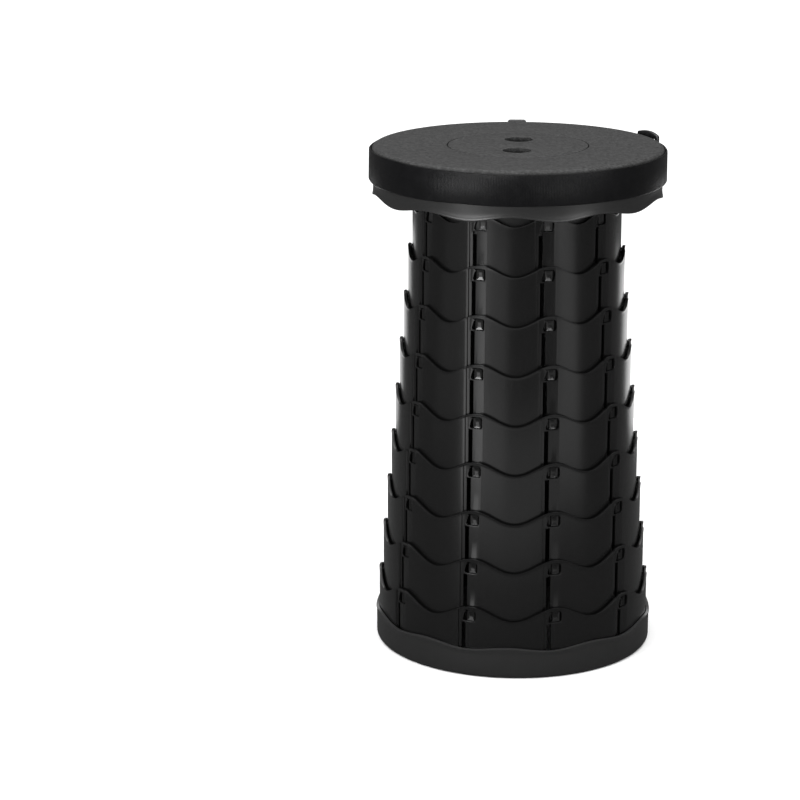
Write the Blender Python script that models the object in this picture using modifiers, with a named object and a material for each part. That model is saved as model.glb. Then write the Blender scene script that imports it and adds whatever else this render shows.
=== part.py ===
"""A telescopic camp stool: nested plastic rings between a round seat and a shallow base pan.

The stool stands pulled out to its full height. Each ring slides down inside the next larger one, until
all of them lie flat in the base pan under the seat. Lengths are metres and +Z is up. The origin lies on the
ground under the middle of the stool, and the front is -Y. A bearing is an angle seen from above, in degrees
from the front, growing towards +X.
"""

import math

import bmesh
import bpy
from mathutils import Matrix, Vector

# Driving dimensions of the whole stool
SEAT_HEIGHT = 0.440
SEAT_RADIUS = 0.125
GAP = 0.0003

# The rings, numbered from 1 under the seat to 9 in the base
RING_COUNT = 9
RING_1_RADIUS = 0.0900
RING_STEP = 0.0036
RING_WALL = 0.0023
RING_PITCH = 0.04205
RING_CREST_HEIGHT = 0.0587

# The scalloped rims: one wave for each lug, with a valley at the front
LOBES = 10
SIDES = 6 * LOBES
RIM_WAVE_SHARE = 0.097
BASE_WAVE = 0.0032
SKIRT_WAVE = 0.0043

# Slots and windows, as arc lengths from a crest and drops below it
SLOT_OFFSET = -0.0070
SLOT_WIDTH = 0.0032
SLOT_TOP_DROP = 0.0128
SLOT_FOOT = 0.0014
WINDOW_OFFSET = 0.0011
WINDOW_WIDTH = 0.0086
WINDOW_TOP_DROP = 0.0038
WINDOW_HEIGHT = 0.0086

# Lugs near the foot of each sliding ring, and the channels that they run in, inside the next larger ring
LUG_WIDTH = 0.0066
LUG_HEIGHT = 0.0064
LUG_DROP = 0.0050
LUG_REACH = 0.0020
CHANNEL_DEPTH = 0.0010
HUB_FOOT_DROP = 0.0042

# Base pan and its rubber pads
PAN_FLOOR = 0.0024
PAN_WALL = 0.0019
PAN_RIM_VALLEY = 0.0242
FOOT_COUNT = 5
FOOT_RADIUS = 0.011
FOOT_THICKNESS = 0.0012
FOOT_CIRCLE = 0.092
FOOT_SIDES = 16

# Seat
TOP_THICKNESS = 0.0024
TOP_RIM_FOOT = 0.4240
TOP_EDGE = 0.0030
RIM_WALL = 0.0024
CAP_RADIUS = 0.060
CAP_THICKNESS = 0.0039
CAP_EDGE = 0.0006
LEDGE_INNER = 0.052
LEDGE_THICKNESS = 0.0018
FINGER_HOLE_RADIUS = 0.012
FINGER_HOLE_SPACING = 0.055
BOSS_RADIUS = 0.0040
BOSS_CIRCLE = 0.0735
SCREW_COUNT = 6
SCREW_SIDES = 8
BOSS_SIDES = 10
HOLE_SIDES = 28
SHANK_RADIUS = 0.0016
HEAD_RADIUS = 0.0034
HEAD_HEIGHT = 0.0022
SHANK_ENTRY = 0.0042

# Seat frame
FRAME_PLATE = 0.0013
FRAME_WELL_PLATE = 0.4280
FRAME_WELL_THICKNESS = 0.0016
FRAME_WELL_INNER = 0.050
SKIRT_FOOT = 0.4008
SKIRT_FOOT_RADIUS = 0.1220
SKIRT_INNER = 0.1201
SKIRT_ROUND = 0.0080
ROUND_STEPS = 3

# Strap, buckle and handle
STRAP_THICKNESS = 0.0022
STRAP_FOOT = 0.4110
STRAP_WIDTH = 0.0260
STRAP_END_BEARING = 14.0
TAIL_THICKNESS = 0.0014
TAIL_START_BEARING = 147.0
BUCKLE_BEARING = 120.5
BUCKLE_WIDTH = 0.0320
BUCKLE_LENGTH = 0.0300
BUCKLE_THICKNESS = 0.0034
BUCKLE_BAR = 0.0036
BUCKLE_STEP = 2.0
KEEPER_BEARING = 182.0
KEEPER_WIDTH = 0.0165
KEEPER_HEIGHT = 0.0200
KEEPER_DEPTH = 0.0066
KEEPER_EDGE = 0.0011
HANDLE_AXIS_Y = 0.1255
HANDLE_REACH = 0.0840
HANDLE_HALF_WIDTH = 0.0255
HANDLE_THICKNESS = 0.0020
HANDLE_STRAP_WIDTH = 0.0250
HANDLE_ROOT = 0.0040
HANDLE_ROOT_WIDTH = 0.0080
HANDLE_TAPER = 0.0140
HANDLE_DROOP = math.radians(40.0)
ARC_STEPS = 8

# Working values
SHARP_ANGLE = math.radians(30.0)
OVERCUT = 0.002
SINK = 0.0010
MERGE = 0.00001

# Colours as sRGB shares, with a roughness
BLACK_PLASTIC = (0.115, 0.115, 0.120)
SATIN_PLASTIC = (0.175, 0.175, 0.180)
GRAINED_PLASTIC = (0.230, 0.230, 0.235)
BLACK_WEBBING = (0.110, 0.110, 0.112)
BUCKLE_PLASTIC = (0.130, 0.130, 0.135)
BLACK_RUBBER = (0.090, 0.090, 0.090)
ZINC_STEEL = (0.700, 0.700, 0.680)


# ---------------------------------------------------------------- scene and helpers


def clear_scene():
    for obj in list(bpy.data.objects):
        bpy.data.objects.remove(obj)


def new_collection(name):
    collection = bpy.data.collections.new(name)
    bpy.context.scene.collection.children.link(collection)
    return collection


def to_linear(share):
    if share <= 0.04045:
        return share / 12.92
    return ((share + 0.055) / 1.055) ** 2.4


def new_material(name, color, roughness, metallic=0.0):
    material = bpy.data.materials.new(name)
    material.use_nodes = True
    shader = material.node_tree.nodes["Principled BSDF"]
    shader.inputs["Base Color"].default_value = [to_linear(share) for share in color] + [1.0]
    shader.inputs["Roughness"].default_value = roughness
    shader.inputs["Metallic"].default_value = metallic
    return material


def outward(bearing):
    """The horizontal unit vector at a bearing in degrees."""
    angle = math.radians(bearing)
    return Vector((math.sin(angle), -math.cos(angle), 0.0))


def bearing_frame(bearing, radius, height):
    """A frame at this place: local X runs round the stool, local Y points outwards, local Z is up."""
    out = outward(bearing)
    place = out * radius
    place.z = height
    return Matrix.Translation(place) @ Matrix.Rotation(math.radians(bearing + 180.0), 4, "Z")


def link(name, mesh, collection, material=None):
    obj = bpy.data.objects.new(name, mesh)
    collection.objects.link(obj)
    if material:
        mesh.materials.clear()
        mesh.materials.append(material)
    return obj


def evaluated_mesh(obj):
    """The object's mesh with its modifiers applied, welded, and facing outwards."""
    graph = bpy.context.evaluated_depsgraph_get()
    mesh = bpy.data.meshes.new_from_object(obj.evaluated_get(graph), depsgraph=graph)
    shape = bmesh.new()
    shape.from_mesh(mesh)
    bmesh.ops.remove_doubles(shape, verts=shape.verts, dist=MERGE)
    bmesh.ops.recalc_face_normals(shape, faces=shape.faces)
    shape.to_mesh(mesh)
    shape.free()
    return mesh


def turned(name, profile, collection, material, sides=SIDES):
    """A closed profile of (radius, height) points turned about the stool's axis with a Screw modifier."""
    outline = bpy.data.meshes.new(name)
    count = len(profile)
    on_axis = [radius < MERGE for radius, _ in profile]
    edges = [(i, (i + 1) % count) for i in range(count) if not (on_axis[i] and on_axis[(i + 1) % count])]
    outline.from_pydata([(radius, 0.0, height) for radius, height in profile], edges, [])
    guide = bpy.data.objects.new(name + "_profile", outline)
    collection.objects.link(guide)
    screw = guide.modifiers.new("Turn", "SCREW")
    screw.angle = 2.0 * math.pi
    screw.steps = sides
    screw.render_steps = sides
    screw.use_merge_vertices = True
    screw.merge_threshold = MERGE
    bpy.context.view_layer.update()
    mesh = evaluated_mesh(guide)
    bpy.data.objects.remove(guide)
    mesh.name = name
    obj = link(name, mesh, collection, material)
    smooth(obj)
    return obj


def smooth(obj):
    obj.data.shade_smooth()
    obj.data.set_sharp_from_angle(angle=SHARP_ANGLE)


def lobe_share(point):
    """0 at a valley of the scalloped rims and 1 at a crest, at this point's bearing."""
    bearing = math.atan2(point.x, -point.y)
    return (1.0 - math.cos(LOBES * bearing)) / 2.0


def scallop(obj, above, wave):
    """Raises the vertices above a height by the wave's share at their bearing."""
    for vertex in obj.data.vertices:
        if vertex.co.z > above:
            vertex.co.z += wave * lobe_share(vertex.co)


def add_box(shape, frame, width, depth, height):
    """A box in the frame's axes: centred across and in height, and reaching outwards by its depth."""
    scale = Matrix.Diagonal((width, depth, height, 1.0))
    matrix = frame @ Matrix.Translation((0.0, depth / 2.0, 0.0)) @ scale
    bmesh.ops.create_cube(shape, size=1.0, matrix=matrix)


def add_cylinder(shape, place, radius, height, sides):
    """A cylinder standing on a place."""
    matrix = Matrix.Translation(Vector(place) + Vector((0.0, 0.0, height / 2.0)))
    bmesh.ops.create_cone(
        shape, cap_ends=True, segments=sides, radius1=radius, radius2=radius, depth=height, matrix=matrix
    )


def finish_shape(name, shape, collection, material=None):
    bmesh.ops.recalc_face_normals(shape, faces=shape.faces)
    mesh = bpy.data.meshes.new(name)
    shape.to_mesh(mesh)
    shape.free()
    return link(name, mesh, collection, material)


def as_helper(obj):
    obj.hide_render = True
    obj.display_type = "WIRE"


def combine(target, other, operation):
    as_helper(other)
    modifier = target.modifiers.new(other.name, "BOOLEAN")
    modifier.operation = operation
    modifier.object = other


def hang_on(child, parent):
    """Parents without moving the child."""
    bpy.context.view_layer.update()
    child.parent = parent
    child.matrix_parent_inverse = parent.matrix_world.inverted()


# ---------------------------------------------------------------- ring sizes


def ring_radius(number):
    """Outer radius of a ring; number 0 is the seat's own short ring."""
    return RING_1_RADIUS + RING_STEP * (number - 1)


def ring_wave(number):
    return RIM_WAVE_SHARE * ring_radius(number)


def ring_crest(number):
    """Height of a ring's crests with the stool pulled out. The largest ring stands on the pan's floor."""
    top_crest = PAN_FLOOR + GAP + RING_CREST_HEIGHT
    lifts = RING_COUNT - number
    return top_crest + lifts * RING_PITCH + ring_wave(number) - ring_wave(RING_COUNT)


def ring_foot(number):
    return ring_crest(number) - ring_crest_height(number)


def ring_crest_height(number):
    """All rings nest with their feet level, and a smaller ring's crests end a little lower."""
    return RING_CREST_HEIGHT + ring_wave(number) - ring_wave(RING_COUNT)


def crest_bearings():
    return [(lobe + 0.5) * 360.0 / LOBES for lobe in range(LOBES)]


def arc_bearing(crest, offset, radius):
    return crest + math.degrees(offset / radius)


def add_lugs(target, number, collection):
    """Joins ten lugs to the foot of a ring. Pulled out, they stand in the next larger ring's windows."""
    radius = ring_radius(number)
    outer = ring_radius(number + 1)
    height = ring_crest(number + 1) - LUG_DROP - LUG_HEIGHT / 2.0
    shape = bmesh.new()
    for crest in crest_bearings():
        lug = bearing_frame(arc_bearing(crest, WINDOW_OFFSET, outer), radius - SINK, height)
        add_box(shape, lug, LUG_WIDTH, SINK + LUG_REACH, LUG_HEIGHT)
    lugs = finish_shape(target.name + "_lugs", shape, collection)
    combine(target, lugs, "UNION")


def cut_openings(target, number, collection):
    """Cuts the ten slots and ten windows through a ring's wall, and the lugs' channels into its inside."""
    radius = ring_radius(number)
    inner = radius - RING_WALL - OVERCUT
    depth = RING_WALL + 2.0 * OVERCUT
    foot = ring_foot(number)
    slot_top = ring_crest(number) - SLOT_TOP_DROP
    slot_foot = foot + SLOT_FOOT
    window_height = ring_crest(number) - WINDOW_TOP_DROP - WINDOW_HEIGHT / 2.0
    openings = bmesh.new()
    channels = bmesh.new()
    for crest in crest_bearings():
        slot = bearing_frame(arc_bearing(crest, SLOT_OFFSET, radius), inner, (slot_top + slot_foot) / 2.0)
        add_box(openings, slot, SLOT_WIDTH, depth, slot_top - slot_foot)
        window = bearing_frame(arc_bearing(crest, WINDOW_OFFSET, radius), inner, window_height)
        add_box(openings, window, WINDOW_WIDTH, depth, WINDOW_HEIGHT)
        channel_foot = foot - OVERCUT
        channel_height = (channel_foot + window_height) / 2.0
        channel = bearing_frame(arc_bearing(crest, WINDOW_OFFSET, radius), inner, channel_height)
        add_box(channels, channel, WINDOW_WIDTH, OVERCUT + CHANNEL_DEPTH, window_height - channel_foot)
    combine(target, finish_shape(target.name + "_openings", openings, collection), "DIFFERENCE")
    combine(target, finish_shape(target.name + "_channels", channels, collection), "DIFFERENCE")


def make_ring(number, parts, helpers, material):
    """One telescoping ring: a thin wall with a scalloped rim, slots and windows, and lugs at its foot."""
    radius = ring_radius(number)
    foot = ring_foot(number)
    valley = ring_crest(number) - ring_wave(number)
    profile = [
        (radius - RING_WALL, valley),
        (radius, valley),
        (radius, foot),
        (radius - RING_WALL, foot),
    ]
    ring = turned(f"ring_{number}", profile, parts, material)
    scallop(ring, valley - MERGE, ring_wave(number))
    if number < RING_COUNT:
        add_lugs(ring, number, helpers)
    cut_openings(ring, number, helpers)
    return ring


# ---------------------------------------------------------------- base


def make_base_pan(parts, helpers, material):
    """The shallow pan that the largest ring stands in, with pockets under its floor for the rubber pads."""
    inner = ring_radius(RING_COUNT) + 2.0 * GAP
    outer = inner + PAN_WALL
    edge = PAN_WALL / 2.0
    profile = [
        (0.0, PAN_FLOOR),
        (inner, PAN_FLOOR),
        (inner, PAN_RIM_VALLEY),
        (outer, PAN_RIM_VALLEY),
        (outer, edge),
        (outer - edge, 0.0),
        (0.0, 0.0),
    ]
    pan = turned("base_pan", profile, parts, material)
    for vertex in pan.data.vertices:
        if vertex.co.z > PAN_RIM_VALLEY - MERGE:
            vertex.co.z += BASE_WAVE * (1.0 - lobe_share(vertex.co))
    pockets = bmesh.new()
    for index in range(FOOT_COUNT):
        place = outward(foot_bearing(index)) * FOOT_CIRCLE
        place.z = -OVERCUT
        add_cylinder(pockets, place, FOOT_RADIUS + GAP, OVERCUT + FOOT_THICKNESS + GAP, FOOT_SIDES)
    combine(pan, finish_shape("base_pan_pockets", pockets, helpers), "DIFFERENCE")
    return pan


def foot_bearing(index):
    return index * 360.0 / FOOT_COUNT


def make_foot_pads(parts, material):
    pads = []
    for index in range(FOOT_COUNT):
        shape = bmesh.new()
        add_cylinder(shape, (0.0, 0.0, 0.0), FOOT_RADIUS, FOOT_THICKNESS, FOOT_SIDES)
        pad = finish_shape(f"foot_pad_{index + 1}", shape, parts, material)
        pad.location = outward(foot_bearing(index)) * FOOT_CIRCLE
        pads.append(pad)
    return pads


# ---------------------------------------------------------------- seat


def make_seat_top(parts, helpers, material):
    """The round top: a disc with a turned-down rim, a well for the cap, and bosses for the screws."""
    under = SEAT_HEIGHT - TOP_THICKNESS
    well = CAP_RADIUS + GAP
    ledge_top = SEAT_HEIGHT - CAP_THICKNESS - GAP
    ledge_foot = ledge_top - LEDGE_THICKNESS
    profile = [
        (well, SEAT_HEIGHT),
        (SEAT_RADIUS - TOP_EDGE, SEAT_HEIGHT),
        (SEAT_RADIUS - TOP_EDGE / 3.0, SEAT_HEIGHT - TOP_EDGE / 3.0),
        (SEAT_RADIUS, SEAT_HEIGHT - TOP_EDGE),
        (SEAT_RADIUS, TOP_RIM_FOOT),
        (SEAT_RADIUS - RIM_WALL, TOP_RIM_FOOT),
        (SEAT_RADIUS - RIM_WALL, under),
        (well + LEDGE_THICKNESS, under),
        (well + LEDGE_THICKNESS, ledge_foot),
        (LEDGE_INNER, ledge_foot),
        (LEDGE_INNER, ledge_top),
        (well, ledge_top),
    ]
    top = turned("seat_top", profile, parts, material)
    bosses = bmesh.new()
    holes = bmesh.new()
    boss_foot = FRAME_WELL_PLATE + FRAME_WELL_THICKNESS + GAP
    for index in range(SCREW_COUNT):
        place = screw_place(index, boss_foot)
        add_cylinder(bosses, place, BOSS_RADIUS, under - boss_foot + SINK, BOSS_SIDES)
        hole_foot = screw_place(index, boss_foot - OVERCUT)
        add_cylinder(holes, hole_foot, SHANK_RADIUS + GAP, OVERCUT + SHANK_ENTRY + GAP, SCREW_SIDES)
    combine(top, finish_shape("seat_top_bosses", bosses, helpers), "UNION")
    combine(top, finish_shape("seat_top_screw_holes", holes, helpers), "DIFFERENCE")
    return top


def screw_place(index, height):
    place = outward((index + 0.5) * 360.0 / SCREW_COUNT) * BOSS_CIRCLE
    place.z = height
    return place


def make_seat_cap(parts, helpers, material):
    """The round insert in the middle of the top, with two finger holes for lifting the stool."""
    foot = SEAT_HEIGHT - CAP_THICKNESS
    profile = [
        (0.0, SEAT_HEIGHT),
        (CAP_RADIUS - CAP_EDGE, SEAT_HEIGHT),
        (CAP_RADIUS, SEAT_HEIGHT - CAP_EDGE),
        (CAP_RADIUS, foot),
        (0.0, foot),
    ]
    cap = turned("seat_cap", profile, parts, material)
    holes = bmesh.new()
    for side in (-1.0, 1.0):
        place = (0.0, side * FINGER_HOLE_SPACING / 2.0, foot - OVERCUT)
        add_cylinder(holes, place, FINGER_HOLE_RADIUS, CAP_THICKNESS + 2.0 * OVERCUT, HOLE_SIDES)
    combine(cap, finish_shape("seat_cap_finger_holes", holes, helpers), "DIFFERENCE")
    return cap


def make_seat_frame(parts, helpers, material):
    """The moulding under the top: a plate, an outer skirt, and the seat's own short ring."""
    plate_top = SEAT_HEIGHT - TOP_THICKNESS - GAP
    plate_foot = plate_top - FRAME_PLATE
    hub_outer = ring_radius(0)
    hub_inner = hub_outer - RING_WALL
    hub_foot = ring_crest(1) - SLOT_TOP_DROP - HUB_FOOT_DROP
    neck = SEAT_RADIUS - RIM_WALL - GAP
    shoulder = TOP_RIM_FOOT - GAP
    well_top = FRAME_WELL_PLATE + FRAME_WELL_THICKNESS
    skirt = [(SKIRT_FOOT_RADIUS, SKIRT_FOOT)]
    for step in range(1, ROUND_STEPS + 1):
        angle = math.pi / 2.0 * step / ROUND_STEPS
        radius = SKIRT_FOOT_RADIUS + (SEAT_RADIUS - SKIRT_FOOT_RADIUS) * math.sin(angle)
        skirt.append((radius, SKIRT_FOOT + SKIRT_ROUND * (1.0 - math.cos(angle))))
    profile = [
        (SKIRT_INNER, SKIRT_FOOT),
        *skirt,
        (SEAT_RADIUS, shoulder),
        (neck, shoulder),
        (neck, plate_top),
        (hub_inner, plate_top),
        (hub_inner, well_top),
        (FRAME_WELL_INNER, well_top),
        (FRAME_WELL_INNER, FRAME_WELL_PLATE),
        (hub_inner, FRAME_WELL_PLATE),
        (hub_inner, hub_foot),
        (hub_outer, hub_foot),
        (hub_outer, plate_foot),
        (SKIRT_INNER, plate_foot),
    ]
    frame = turned("seat_frame", profile, parts, material)
    for vertex in frame.data.vertices:
        outside = math.hypot(vertex.co.x, vertex.co.y) > SKIRT_INNER - GAP
        if outside and vertex.co.z < SKIRT_FOOT + MERGE:
            vertex.co.z -= SKIRT_WAVE * lobe_share(vertex.co)
    add_lugs(frame, 0, helpers)
    holes = bmesh.new()
    for index in range(SCREW_COUNT):
        place = screw_place(index, FRAME_WELL_PLATE - OVERCUT)
        add_cylinder(holes, place, SHANK_RADIUS + GAP, FRAME_WELL_THICKNESS + 2.0 * OVERCUT, SCREW_SIDES)
    combine(frame, finish_shape("seat_frame_screw_holes", holes, helpers), "DIFFERENCE")
    return frame


def make_seat_screws(parts, material):
    """Pan-head screws that go up through the frame's plate into the top's bosses."""
    head_top = FRAME_WELL_PLATE - GAP
    length = GAP + FRAME_WELL_THICKNESS + GAP + SHANK_ENTRY
    profile = [
        (0.0, length),
        (SHANK_RADIUS, length),
        (SHANK_RADIUS, 0.0),
        (HEAD_RADIUS, 0.0),
        (HEAD_RADIUS, -HEAD_HEIGHT / 2.0),
        (HEAD_RADIUS - HEAD_HEIGHT / 2.0, -HEAD_HEIGHT),
        (0.0, -HEAD_HEIGHT),
    ]
    screws = []
    for index in range(SCREW_COUNT):
        screw = turned(f"seat_screw_{index + 1}", profile, parts, material, sides=SCREW_SIDES)
        screw.location = screw_place(index, head_top)
        screws.append(screw)
    return screws


# ---------------------------------------------------------------- strap, buckle and handle


def arc_outline(radius, bearings):
    return [outward(bearing) * radius for bearing in bearings]


def flat_outline(name, points, half_height, collection, material):
    """A closed outline in its own XY plane, extruded both ways by half its height."""
    curve = bpy.data.curves.new(name, "CURVE")
    curve.dimensions = "2D"
    curve.fill_mode = "BOTH"
    curve.extrude = half_height
    spline = curve.splines.new("POLY")
    spline.points.add(len(points) - 1)
    for spline_point, point in zip(spline.points, points):
        spline_point.co = (point[0], point[1], 0.0, 1.0)
    spline.use_cyclic_u = True
    guide = bpy.data.objects.new(name + "_outline", curve)
    collection.objects.link(guide)
    bpy.context.view_layer.update()
    mesh = evaluated_mesh(guide)
    bpy.data.objects.remove(guide)
    return link(name, mesh, collection, material)


def band(name, inner, thickness, first, last, width, step, collection, material):
    """Webbing laid round the rim between two bearings, standing on edge."""
    count = max(2, round((last - first) / step))
    bearings = [first + (last - first) * index / count for index in range(count + 1)]
    points = arc_outline(inner + thickness, bearings) + arc_outline(inner, bearings[::-1])
    obj = flat_outline(name, points, width / 2.0, collection, material)
    obj.location.z = STRAP_FOOT + STRAP_WIDTH / 2.0
    return obj


def make_handle(parts, material):
    """The carrying loop. Its origin is on the line that it swings about, and at rest it droops."""
    outer = HANDLE_HALF_WIDTH
    inner = outer - HANDLE_THICKNESS
    crown = HANDLE_REACH - outer
    angles = [math.pi * step / ARC_STEPS for step in range(ARC_STEPS + 1)]
    points = [(outer, HANDLE_ROOT)]
    points += [(outer * math.cos(angle), crown + outer * math.sin(angle)) for angle in angles]
    points += [(-outer, HANDLE_ROOT), (-inner, HANDLE_ROOT)]
    points += [(-inner * math.cos(angle), crown + inner * math.sin(angle)) for angle in angles]
    points += [(inner, HANDLE_ROOT)]
    handle = flat_outline("strap_handle", points, HANDLE_STRAP_WIDTH / 2.0, parts, material)
    taper_root(handle)
    handle.location = (0.0, HANDLE_AXIS_Y, STRAP_FOOT + STRAP_WIDTH / 2.0)
    handle.rotation_euler.x = -HANDLE_DROOP
    return handle


def taper_root(handle):
    """Narrows the webbing towards its roots, where it twists as it leaves the rim."""
    shape = bmesh.new()
    shape.from_mesh(handle.data)
    rise = (HANDLE_STRAP_WIDTH - HANDLE_ROOT_WIDTH) / 2.0
    run = HANDLE_TAPER - HANDLE_ROOT
    for side in (-1.0, 1.0):
        cut = bmesh.ops.bisect_plane(
            shape,
            geom=shape.verts[:] + shape.edges[:] + shape.faces[:],
            plane_co=(0.0, HANDLE_ROOT, side * HANDLE_ROOT_WIDTH / 2.0),
            plane_no=(0.0, -rise, side * run),
            clear_outer=True,
        )
        edges = [item for item in cut["geom_cut"] if isinstance(item, bmesh.types.BMEdge)]
        bmesh.ops.holes_fill(shape, edges=edges, sides=0)
    bmesh.ops.recalc_face_normals(shape, faces=shape.faces)
    shape.to_mesh(handle.data)
    shape.free()


def make_buckle(parts, helpers, material):
    """A tri-glide slider over the strap: a plate with two slots either side of a middle bar."""
    radius = SEAT_RADIUS + GAP + STRAP_THICKNESS + GAP + TAIL_THICKNESS + GAP
    height = STRAP_FOOT + STRAP_WIDTH / 2.0
    half_span = math.degrees(BUCKLE_LENGTH / 2.0 / radius)
    buckle = band(
        "slider_buckle",
        radius,
        BUCKLE_THICKNESS,
        -half_span,
        half_span,
        BUCKLE_WIDTH,
        BUCKLE_STEP,
        parts,
        material,
    )
    slot_length = (BUCKLE_LENGTH - 3.0 * BUCKLE_BAR) / 2.0
    slot_offset = math.degrees((BUCKLE_BAR + slot_length) / 2.0 / radius)
    shape = bmesh.new()
    for side in (-1.0, 1.0):
        frame = bearing_frame(side * slot_offset, radius - OVERCUT, 0.0)
        add_box(shape, frame, slot_length, BUCKLE_THICKNESS + 2.0 * OVERCUT, BUCKLE_WIDTH - 2.0 * BUCKLE_BAR)
    slots = finish_shape("slider_buckle_slots", shape, helpers)
    slots.location.z = height
    slots.rotation_euler.z = math.radians(BUCKLE_BEARING)
    buckle.rotation_euler.z = math.radians(BUCKLE_BEARING)
    combine(buckle, slots, "DIFFERENCE")
    return buckle


def make_keeper(parts, material):
    """The block at the rear that holds both ends of the strap against the rim."""
    shape = bmesh.new()
    frame = bearing_frame(KEEPER_BEARING, SEAT_RADIUS + GAP, SEAT_HEIGHT - GAP - KEEPER_HEIGHT / 2.0)
    add_box(shape, frame, KEEPER_WIDTH, KEEPER_DEPTH, KEEPER_HEIGHT)
    keeper = finish_shape("strap_keeper", shape, parts, material)
    bevel = keeper.modifiers.new("Edges", "BEVEL")
    bevel.width = KEEPER_EDGE
    bevel.segments = 1
    return keeper


# ---------------------------------------------------------------- the whole stool


def build():
    clear_scene()
    parts = new_collection("camp_stool")
    helpers = new_collection("camp_stool_helpers")
    ring_plastic = new_material("semi_gloss_polypropylene", BLACK_PLASTIC, 0.34)
    base_plastic = new_material("satin_polypropylene", SATIN_PLASTIC, 0.45)
    seat_plastic = new_material("grained_polypropylene", GRAINED_PLASTIC, 0.60)
    webbing = new_material("black_webbing", BLACK_WEBBING, 0.80)
    buckle_plastic = new_material("acetal_buckle", BUCKLE_PLASTIC, 0.40)
    rubber = new_material("black_rubber", BLACK_RUBBER, 0.85)
    steel = new_material("zinc_plated_steel", ZINC_STEEL, 0.35, metallic=1.0)

    pan = make_base_pan(parts, helpers, base_plastic)
    for pad in make_foot_pads(parts, rubber):
        hang_on(pad, pan)
    carrier = pan
    for number in range(RING_COUNT, 0, -1):
        ring = make_ring(number, parts, helpers, ring_plastic)
        hang_on(ring, carrier)
        carrier = ring
    frame = make_seat_frame(parts, helpers, base_plastic)
    hang_on(frame, carrier)

    strap_radius = SEAT_RADIUS + GAP
    tail_radius = strap_radius + STRAP_THICKNESS + GAP
    seat_pieces = [
        make_seat_top(parts, helpers, seat_plastic),
        make_seat_cap(parts, helpers, seat_plastic),
        *make_seat_screws(parts, steel),
        band(
            "strap_band",
            strap_radius,
            STRAP_THICKNESS,
            -180.0 + STRAP_END_BEARING,
            180.0 - STRAP_END_BEARING,
            STRAP_WIDTH,
            360.0 / SIDES,
            parts,
            webbing,
        ),
        band(
            "strap_tail",
            tail_radius,
            TAIL_THICKNESS,
            BUCKLE_BEARING,
            TAIL_START_BEARING,
            STRAP_WIDTH - 2.0 * GAP,
            360.0 / SIDES,
            parts,
            webbing,
        ),
        make_keeper(parts, buckle_plastic),
        make_handle(parts, webbing),
        make_buckle(parts, helpers, buckle_plastic),
    ]
    for piece in seat_pieces:
        hang_on(piece, frame)


build()
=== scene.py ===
# %% [markdown]
# # A telescopic camp stool
#
# The stool is a stack of thin plastic rings that slide into one another, with a round seat on the smallest
# ring and a shallow pan under the largest. A webbing strap runs round the seat and makes a carrying loop at
# the back. The solids that move and collide come ready packed. This lesson builds the finer surface over
# them: the same sizes and places, with the rounded rims, seams, weave and grain that the eye looks for.

# %% Load the frame
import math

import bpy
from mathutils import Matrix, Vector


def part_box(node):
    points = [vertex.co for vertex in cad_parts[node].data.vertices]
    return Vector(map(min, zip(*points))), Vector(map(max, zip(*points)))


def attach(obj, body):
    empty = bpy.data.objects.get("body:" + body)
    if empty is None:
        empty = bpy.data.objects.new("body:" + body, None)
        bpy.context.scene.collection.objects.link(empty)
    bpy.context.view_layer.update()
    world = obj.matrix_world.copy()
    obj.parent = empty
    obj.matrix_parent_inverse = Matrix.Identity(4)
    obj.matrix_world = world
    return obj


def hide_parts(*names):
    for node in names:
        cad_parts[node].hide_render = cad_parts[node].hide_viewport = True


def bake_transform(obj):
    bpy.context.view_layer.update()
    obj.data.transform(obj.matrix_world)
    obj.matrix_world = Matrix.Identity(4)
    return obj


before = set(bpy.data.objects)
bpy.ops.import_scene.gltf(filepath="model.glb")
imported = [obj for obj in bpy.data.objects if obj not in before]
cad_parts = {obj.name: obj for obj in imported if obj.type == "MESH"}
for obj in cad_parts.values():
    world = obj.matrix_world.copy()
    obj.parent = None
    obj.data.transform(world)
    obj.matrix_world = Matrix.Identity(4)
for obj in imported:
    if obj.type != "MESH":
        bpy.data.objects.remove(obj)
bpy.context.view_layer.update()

# %% [markdown]
# Everything is in metres. Millimetres are easier to think in for a moulding, so MM turns them to metres.
# Bearings are angles seen from above, in degrees from the front (-Y), growing towards +X.

MM = 0.001
TOUCH = 0.01 * MM        # points closer than this are one point
LOBES = 10
LOBE_ANGLE = 360.0 / LOBES
RING_COUNT = 9
RING_1_RADIUS = 90.0 * MM
RING_STEP = 3.6 * MM
RING_WALL = 2.3 * MM
RIM_WAVE_SHARE = 0.097
SEAT_RADIUS = 125.0 * MM
ROUND_SIDES = 240

seat_top_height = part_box("seat_top")[1].z
ring_feet = {n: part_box(f"ring_{n}")[0].z for n in range(1, RING_COUNT + 1)}
ring_crests = {n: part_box(f"ring_{n}")[1].z for n in range(1, RING_COUNT + 1)}
print("seat top at", round(seat_top_height / MM, 1), "mm")
print("ring 1 crest at", round(ring_crests[1] / MM, 1), "mm")

# %% [markdown]
# ## Small helpers
#
# Operators act on whatever is selected, so each step starts by letting go of everything. Faces are then
# picked in code, by where they are and which way they look, as a person would click them.

# %% Helpers for modelling
def let_go():
    if bpy.context.object and bpy.context.object.mode != "OBJECT":
        bpy.ops.object.mode_set(mode="OBJECT")
    bpy.ops.object.select_all(action="DESELECT")


def take(piece):
    let_go()
    piece.select_set(True)
    bpy.context.view_layer.objects.active = piece


def edit(piece, mode="VERT"):
    """Opens the piece in edit mode with everything selected."""
    take(piece)
    bpy.ops.object.mode_set(mode="EDIT")
    bpy.ops.mesh.select_mode(type=mode)
    bpy.ops.mesh.select_all(action="SELECT")


def done():
    bpy.ops.object.mode_set(mode="OBJECT")


def settle(piece):
    """Puts the object's place, turn and size into its mesh."""
    take(piece)
    bpy.ops.object.transform_apply(location=True, rotation=True, scale=True)


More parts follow.
